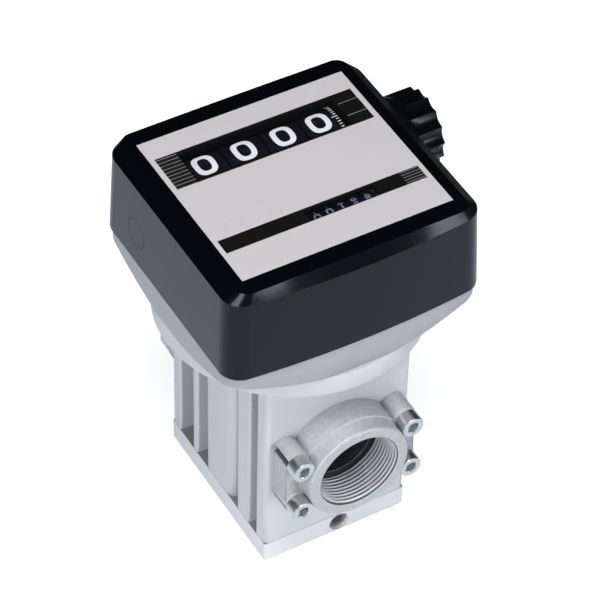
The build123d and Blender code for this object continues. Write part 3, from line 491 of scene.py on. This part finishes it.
def port_thread(name, side, material):
    """Inner thread of a port, from its mouth inwards, as one closed sleeve in the plain bore."""
    around = 144
    per_pitch = 8
    rows_in = ceil(THREAD_LENGTH / THREAD_PITCH * per_pitch)
    lead_in = 1.6
    crest_share, flank_share = 0.12, 0.62

    def point(i, depth, radius):
        angle = tau * i / around
        return side * -radius * cos(angle), side * (THREAD_START - depth), PORT_HEIGHT + radius * sin(angle)

    bm = bmesh.new()
    rows = []
    for row in range(rows_in + 1):
        depth = THREAD_LENGTH * row / rows_in
        fade = min(1.0, depth / lead_in) * min(1.0, (THREAD_LENGTH - depth) / lead_in)
        ring = []
        for i in range(around):
            phase = (depth / THREAD_PITCH + i / around) % 1.0
            flank = min(1.0, max(0.0, (abs(phase - 0.5) * 2 - crest_share) / flank_share))
            ring.append(point(i, depth, THREAD_RADIUS - THREAD_DEPTH * (1 - flank) * fade - THREAD_SKIN))
        rows.append(ring)
    for depth in (THREAD_LENGTH, 0.0):
        rows.append([point(i, depth, THREAD_RADIUS) for i in range(around)])
    close_tube(bm, rows)
    return piece_from(bm, name, material, "housing")


# Socket-head screws of the flanges

def socket_screw(bm, at, out):
    """One socket-head screw with its seat at the point at and its head towards +Y times out."""
    around = 48
    knurl = 0.10
    apothem = BOLT_HEX / 2

    def ring(radius, height, hexagon=False, ribbed=False):
        points = []
        for i in range(around):
            angle = tau * i / around
            r = radius
            if hexagon:
                r = radius / cos((angle + pi / 6) % (pi / 3) - pi / 6)
            if ribbed and i % 2:
                r -= knurl
            points.append((at[0] - out * r * cos(angle), at[1] + out * height, at[2] + r * sin(angle)))
        return points

    edge = 0.7
    rows = [
        ring(BOLT_SHANK_RADIUS, -BOLT_SHANK_LENGTH),
        ring(BOLT_SHANK_RADIUS, 0.0),
        ring(BOLT_HEAD_RADIUS - 0.3, 0.0),
        ring(BOLT_HEAD_RADIUS, 0.3, ribbed=True),
        ring(BOLT_HEAD_RADIUS, BOLT_HEAD_HEIGHT - edge - 0.8, ribbed=True),
        ring(BOLT_HEAD_RADIUS - 0.1, BOLT_HEAD_HEIGHT - edge - 0.6),
        ring(BOLT_HEAD_RADIUS - 0.1, BOLT_HEAD_HEIGHT - edge),
        ring(BOLT_HEAD_RADIUS - 0.32, BOLT_HEAD_HEIGHT - 0.2),
        ring(BOLT_HEAD_RADIUS - edge, BOLT_HEAD_HEIGHT),
        ring(apothem + 0.75, BOLT_HEAD_HEIGHT),
        ring(apothem, BOLT_HEAD_HEIGHT - 0.5, hexagon=True),
        ring(apothem, BOLT_HEAD_HEIGHT / 2, hexagon=True),
        ring(1.0, BOLT_HEAD_HEIGHT / 2 - 0.6),
    ]
    lathe_rows(bm, rows)


def flange_screws(name, side, material):
    """The four screws of one flange."""
    bm = bmesh.new()
    for x in (-BOLT_SPACING_X / 2, BOLT_SPACING_X / 2):
        for z in (-BOLT_SPACING_Z / 2, BOLT_SPACING_Z / 2):
            socket_screw(bm, (x, side * BOLT_SEAT, PORT_HEIGHT + z), side)
    return piece_from(bm, name, material, "housing")


# Fluted knob that resets the counter

def fluted_knob(name, material):
    """Knob with wide hollow flutes that meet in crests and run out before the collar."""
    low, high = (tuple(c / MM for c in corner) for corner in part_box("reset_knob"))
    middle_y, middle_z = (low[1] + high[1]) / 2, (low[2] + high[2]) / 2
    start, end, outer = high[0] - KNOB_LENGTH, high[0], KNOB_RADIUS
    around = KNOB_FLUTES * KNOB_FLUTE_POINTS
    # Place along the knob, radius, and the share of the flutes' depth
    steps = (
        (low[0], KNOB_STEM, 0.0), (start, KNOB_STEM, 0.0), (start, outer - 0.6, 0.0),
        (start + 0.6, outer, 0.0), (start + 4.5, outer, 0.0), (start + 6.0, outer, 0.22),
        (start + 7.5, outer, 0.55), (start + 9.5, outer, 0.85), (start + 12.0, outer, 1.0), (end - 1.0, outer, 1.0),
        (end - 0.3, outer - 0.25, 1.0), (end, outer - 0.9, 1.0), (end, outer - 4.0, 0.0), (end, 1.0, 0.0),
    )
    rows = []
    for x, radius, share in steps:
        row = []
        for i in range(around):
            across = (i % KNOB_FLUTE_POINTS) / (KNOB_FLUTE_POINTS / 2) - 1
            r = radius - share * KNOB_FLUTE_DEPTH * (1 - across * across)
            angle = tau * i / around
            row.append((x, middle_y + r * cos(angle), middle_z + r * sin(angle)))
        rows.append(row)
    bm = bmesh.new()
    lathe_rows(bm, rows)
    return piece_from(bm, name, material, "reset")


# Numbers on the wheels

def wrap_on_wheel(bm, x, y, z, radius, turn):
    """Bend flat shapes over a wheel. Flat x runs along the wheel, flat y round it, and z out of it."""
    for vert in bm.verts:
        angle = turn + vert.co.y / radius
        r = radius + vert.co.z
        vert.co = Vector((x + vert.co.x, y + r * sin(angle), z + r * cos(angle)))


def slice_rows(bm, low, high, step):
    """Cut a flat shape into narrow rows, so that it can bend."""
    y = low + step
    while y < high:
        geometry = bm.verts[:] + bm.edges[:] + bm.faces[:]
        bmesh.ops.bisect_plane(bm, geom=geometry, plane_co=(0, y, 0), plane_no=(0, 1, 0))
        y += step


def rounded_ring(bm, half_width, half_height, side_stroke, end_stroke, lift):
    """A zero: a squarish rounded ring, a little thicker at its sides."""
    around = 56
    outer_power, inner_power = 2.9, 2.6

    def loop(a, b, z, power):
        points = []
        for i in range(around):
            c, s = cos(tau * i / around), sin(tau * i / around)
            points.append((a * abs(c) ** (2 / power) * (1 if c >= 0 else -1),
                           b * abs(s) ** (2 / power) * (1 if s >= 0 else -1), z))
        return points

    inner = (half_width - side_stroke, half_height - end_stroke)
    rows = [
        loop(half_width, half_height, -lift, outer_power),
        loop(half_width, half_height, lift, outer_power),
        loop(*inner, lift, inner_power),
        loop(*inner, -lift, inner_power),
    ]
    close_tube(bm, rows)


def font_digit(bm, digit, width, height, lift):
    """One of the other digits, from the plain built-in face, thickened and set to size."""
    curve = bpy.data.curves.new("digit_shape", "FONT")
    curve.body = str(digit)
    curve.size = 1.0
    curve.offset = GLYPH_WEIGHT
    curve.resolution_u = 5
    holder = bpy.data.objects.new("digit_shape", curve)
    bpy.context.scene.collection.objects.link(holder)
    bpy.context.view_layer.update()
    flat = bpy.data.meshes.new_from_object(holder)
    bpy.data.objects.remove(holder)
    xs = [v.co.x for v in flat.vertices]
    ys = [v.co.y for v in flat.vertices]
    middle = Vector(((min(xs) + max(xs)) / 2, (min(ys) + max(ys)) / 2, 0))
    scale_y = height / (max(ys) - min(ys))
    scale_x = min(scale_y, width / (max(xs) - min(xs)))
    glyph = bmesh.new()
    glyph.from_mesh(flat)
    bpy.data.meshes.remove(flat)
    bmesh.ops.remove_doubles(glyph, verts=glyph.verts, dist=1e-5)
    for vert in glyph.verts:
        vert.co = Vector(((vert.co.x - middle.x) * scale_x, (vert.co.y - middle.y) * scale_y, lift))
    grown = bmesh.ops.extrude_face_region(glyph, geom=glyph.faces[:])
    for element in grown["geom"]:
        if isinstance(element, bmesh.types.BMVert):
            element.co.z = -lift
    mesh = bpy.data.meshes.new("digit_solid")
    glyph.to_mesh(mesh)
    glyph.free()
    bm.from_mesh(mesh)
    bpy.data.meshes.remove(mesh)


def add_bent(whole, flat, x, y, z, radius, turn):
    """Bend a flat shape over a wheel and add it to the wheel's print."""
    wrap_on_wheel(flat, x, y, z, radius, turn)
    mesh = bpy.data.meshes.new("bent_print")
    flat.to_mesh(mesh)
    flat.free()
    whole.from_mesh(mesh)
    bpy.data.meshes.remove(mesh)


def number_ring(name, body, centre, radius, size, start, material, shift=0.0, ticks=False):
    """The ten numbers round one wheel, with start in the window, and a hundred marks where asked."""
    x, y, z = centre
    width, height = size
    lift = PRINT_LIFT
    side_stroke, end_stroke = width * ZERO_STROKES[0], height * ZERO_STROKES[1]
    whole = bmesh.new()
    for digit in range(10):
        flat = bmesh.new()
        if digit == 0:
            rounded_ring(flat, width / 2, height / 2, side_stroke, end_stroke, lift)
        else:
            font_digit(flat, digit, width, height, lift)
        slice_rows(flat, -height / 2, height / 2, height / PRINT_ROWS)
        add_bent(whole, flat, x + shift, y, z, radius + lift * 0.6, radians(36 * (digit - start)))
    if ticks:
        for mark in range(100):
            tens, fives, others = TICK_LENGTHS
            long = tens if mark % 10 == 0 else (fives if mark % 5 == 0 else others)
            flat = bmesh.new()
            bmesh.ops.create_cube(flat, size=1.0, matrix=Matrix.Diagonal((long, TICK_WIDTH, 2 * lift, 1)))
            bmesh.ops.translate(flat, verts=flat.verts, vec=(TICK_EDGE - long / 2, 0, 0))
            add_bent(whole, flat, x, y, z, radius + lift * 0.6, radians(3.6 * mark))
    return piece_from(whole, name, material, body)


def soften(node, width):
    """Round the edges of a node's shown shape with a bevel."""
    shape = frame["nodes"][node]
    weld = shape.modifiers.new("weld", "WELD")
    weld.merge_threshold = 0.00001
    bevel = shape.modifiers.new("edge", "BEVEL")
    bevel.width = width * MM
    bevel.segments = 2
    bevel.limit_method = "ANGLE"
    bevel.angle_limit = radians(SHARP_ANGLE)
    bevel.harden_normals = True


# Finishes on the nodes
paint = silver_paint("silver_paint", (0.575, 0.590, 0.620), (0.630, 0.645, 0.675), 0.42)
cast_paint = silver_paint("cast_silver_paint", (0.455, 0.468, 0.497), (0.525, 0.539, 0.568), 0.46, 0.5)
plate_paint = silver_paint("base_plate_paint", (0.70, 0.71, 0.73), (0.74, 0.75, 0.77), 0.42)
base_paint = silver_paint("register_base_paint", (0.36, 0.375, 0.40), (0.41, 0.425, 0.45), 0.42)
cover_black = black_moulding("cover_black", (0.0008, 0.0016, 0.0026), 0.20, 0.00001)
knob_black = black_moulding("knob_black", (0.0014, 0.0019, 0.0024), 0.26, 0.00002)
zinc = bright_zinc("bright_zinc")
steel = turned_metal("ground_steel", (0.48, 0.49, 0.51), (0.62, 0.63, 0.65), 0.26)
gear_metal = turned_metal("milled_aluminium", (0.60, 0.61, 0.63), (0.72, 0.73, 0.75), 0.34)
brass = turned_metal("gear_brass", (0.58, 0.42, 0.17), (0.74, 0.55, 0.25), 0.28)
bronze = turned_metal("bush_bronze", (0.42, 0.28, 0.14), (0.52, 0.36, 0.19), 0.40)
thread_metal = cut_thread("cut_thread")
nylon = moulded_nylon("gear_nylon")
rubber = black_rubber("seal_rubber")
plug_finish = plug_steel("drain_plug_steel")
window = clear_window("clear_window")
dial = printed_dial("printed_dial")
wheel = wheel_plastic("number_wheel_plastic")
# The large numbers shine faintly by themselves: painted light
digits = digit_print("digit_print", (0.88, 0.88, 0.97), (0.95, 0.95, 1.0), 0.16)
small_digits = digit_print("small_digit_print", (0.20, 0.20, 0.34), (0.28, 0.28, 0.44))

finish_of_slot = {
    "body_paint": paint,
    "register_base_paint": base_paint,
    "cover_plastic": cover_black,
    "knob_plastic": knob_black,
    "dial_face": dial,
    "window": window,
    "number_wheel": wheel,
    "total_wheel": wheel,
    "bright_screw": zinc,
    "inner_steel": steel,
    "gear_metal": gear_metal,
    "brass_gear": brass,
    "gear_plastic": nylon,
    "bush_bronze": bronze,
    "seal_rubber": rubber,
    "plug_metal": plug_finish,
}
finish_of_node = {"front_port_flange": cast_paint, "rear_port_flange": cast_paint, "base_plate": plate_paint}
for row in frame["record"]["subparts"]:
    shape = frame["nodes"][row["node"]]
    shape.data.materials.clear()
    shape.data.materials.append(finish_of_node.get(row["node"], finish_of_slot[row["material_slot"]]))

# Softened edges of what shows
for node, width in (("meter_body", 0.5), ("base_plate", 0.5), ("chamber_cover", 0.6), ("register_base", 0.5),
                    ("front_port_flange", 0.5), ("rear_port_flange", 0.5)):
    soften(node, width)

# Pieces that ride on the bodies
for side, word in ((-1, "front"), (1, "rear")):
    port_thread(f"{word}_thread", side, thread_metal)
    screws = flange_screws(f"{word}_socket_screws", side, zinc)
    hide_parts(f"{word}_flange_screws")

knob = fluted_knob("fluted_knob", knob_black)
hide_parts("reset_knob")

for body, x in zip(("thousands", "hundreds", "tens", "units"), COUNTER_X):
    last = body == "units"
    number_ring(f"{body}_numbers", body, (x, COUNTER_Y, COUNTER_Z), COUNTER_RADIUS, COUNTER_DIGIT, 0,
                digits, shift=UNITS_SHIFT if last else 0.0, ticks=last)
for index, (x, start) in enumerate(zip(TOTAL_X, TOTAL_READING), 1):
    number_ring(f"total_numbers_{index}", f"total_{index}", (x, TOTAL_Y, TOTAL_Z), TOTAL_RADIUS,
                TOTAL_DIGIT, start, small_digits)


# Camera at the photograph's viewing angle
YAW, PITCH, ROLL = radians(-30.808), radians(45.2045), radians(1.5332)
CAMERA_PLACE = (-0.58474, -0.99046, 1.29374)
FOCAL_LENGTH = 184.29

back = Vector((sin(YAW) * cos(PITCH), -cos(YAW) * cos(PITCH), sin(PITCH)))
level = Vector((cos(YAW), sin(YAW), 0.0))
upward = back.cross(level)
right = cos(ROLL) * level + sin(ROLL) * upward
upright = cos(ROLL) * upward - sin(ROLL) * level
lens = bpy.data.cameras.new("camera")
lens.sensor_width = 36.0
lens.lens = FOCAL_LENGTH
lens.clip_start = 0.1
lens.clip_end = 20.0
camera = bpy.data.objects.new("camera", lens)
bpy.context.scene.collection.objects.link(camera)
turned = Matrix((right, upright, back)).transposed().to_4x4()
camera.matrix_world = Matrix.Translation(CAMERA_PLACE) @ turned
bpy.context.scene.camera = camera


# Studio: a white floor, pale surroundings with a dark ceiling behind the meter, and soft lamps
FLOOR_RADIUS = 0.6
FLOOR_DROP = 0.0005
CEILING = (0.361, 0.605, 0.710)
AMBIENT = 0.26


def studio_floor():
    """A pale disc that keeps the shadow, and glows a little for the camera and in reflections."""
    f = Finish("studio_floor")
    diffuse = f.node("BsdfDiffuse", {}, {"Color": (0.62, 0.63, 0.64, 1)})
    seen = f.node("Emission", {}, {"Color": (1, 1, 1, 1),
                                   "Strength": f.node("LightPath", out="Is Camera Ray") * 0.72})
    mirrored = f.node("Emission", {}, {"Color": (0.58, 0.77, 1.0, 1),
                                       "Strength": f.node("LightPath", out="Is Glossy Ray") * 0.48})
    glow = f.node("AddShader", {}, {0: seen, 1: mirrored})
    f.close(f.node("AddShader", {}, {0: diffuse, 1: glow}))
    bm = bmesh.new()
    bmesh.ops.create_circle(bm, cap_ends=True, segments=96, radius=FLOOR_RADIUS)
    mesh = bpy.data.meshes.new("studio_floor")
    bm.to_mesh(mesh)
    bm.free()
    floor = bpy.data.objects.new("studio_floor", mesh)
    bpy.context.scene.collection.objects.link(floor)
    mesh.materials.append(f.material)
    floor.location.z = -FLOOR_DROP


def studio_world():
    """Pale surroundings that fade to dark towards CEILING, as a studio's do, and plain white where the
    camera looks past the meter."""
    world = bpy.data.worlds.new("studio_world")
    bpy.context.scene.world = world
    w = Nodes(world)
    direction = w.node("TexCoord", out="Generated")
    dark_side = w.node("VectorMath", {"operation": "DOT_PRODUCT"}, {0: direction, 1: CEILING}, "Value")
    pale = w.node("MapRange", {"interpolation_type": "SMOOTHSTEP"},
                  {"Value": dark_side, "From Min": 0.45, "From Max": -0.10,
                   "To Min": 0.03, "To Max": AMBIENT})
    ambient = w.node("Background", {}, {"Color": (0.97, 0.985, 1.0, 1), "Strength": pale})
    white = w.node("Background", {}, {"Color": (1, 1, 1, 1), "Strength": 1.0})
    seen = w.node("LightPath", {}, {}, "Is Camera Ray")
    w.close(w.node("MixShader", {}, {0: seen, 1: ambient, 2: white}), "OutputWorld")


def soft_lamp(name, place, target, size, power):
    """A rectangular softbox at a place in metres, turned to its target."""
    lamp = bpy.data.lights.new(name, "AREA")
    lamp.shape = "RECTANGLE"
    lamp.size, lamp.size_y = size
    lamp.energy = power
    holder = bpy.data.objects.new(name, lamp)
    bpy.context.scene.collection.objects.link(holder)
    holder.location = place
    holder.rotation_euler = (Vector(target) - Vector(place)).to_track_quat("-Z", "Y").to_euler()


studio_floor()
studio_world()
soft_lamp("left_softbox", (-1.60, -1.00, 1.00), (0, 0, 0.12), (1.0, 1.0), 24.0)
soft_lamp("front_softbox", (0.95, -1.95, 0.50), (0, 0, 0.1), (0.9, 0.8), 18.0)
soft_lamp("top_softbox", (-0.30, -0.75, 2.30), (0, 0, 0.15), (1.0, 1.0), 34.0)

bpy.context.scene.view_settings.view_transform = "Standard"
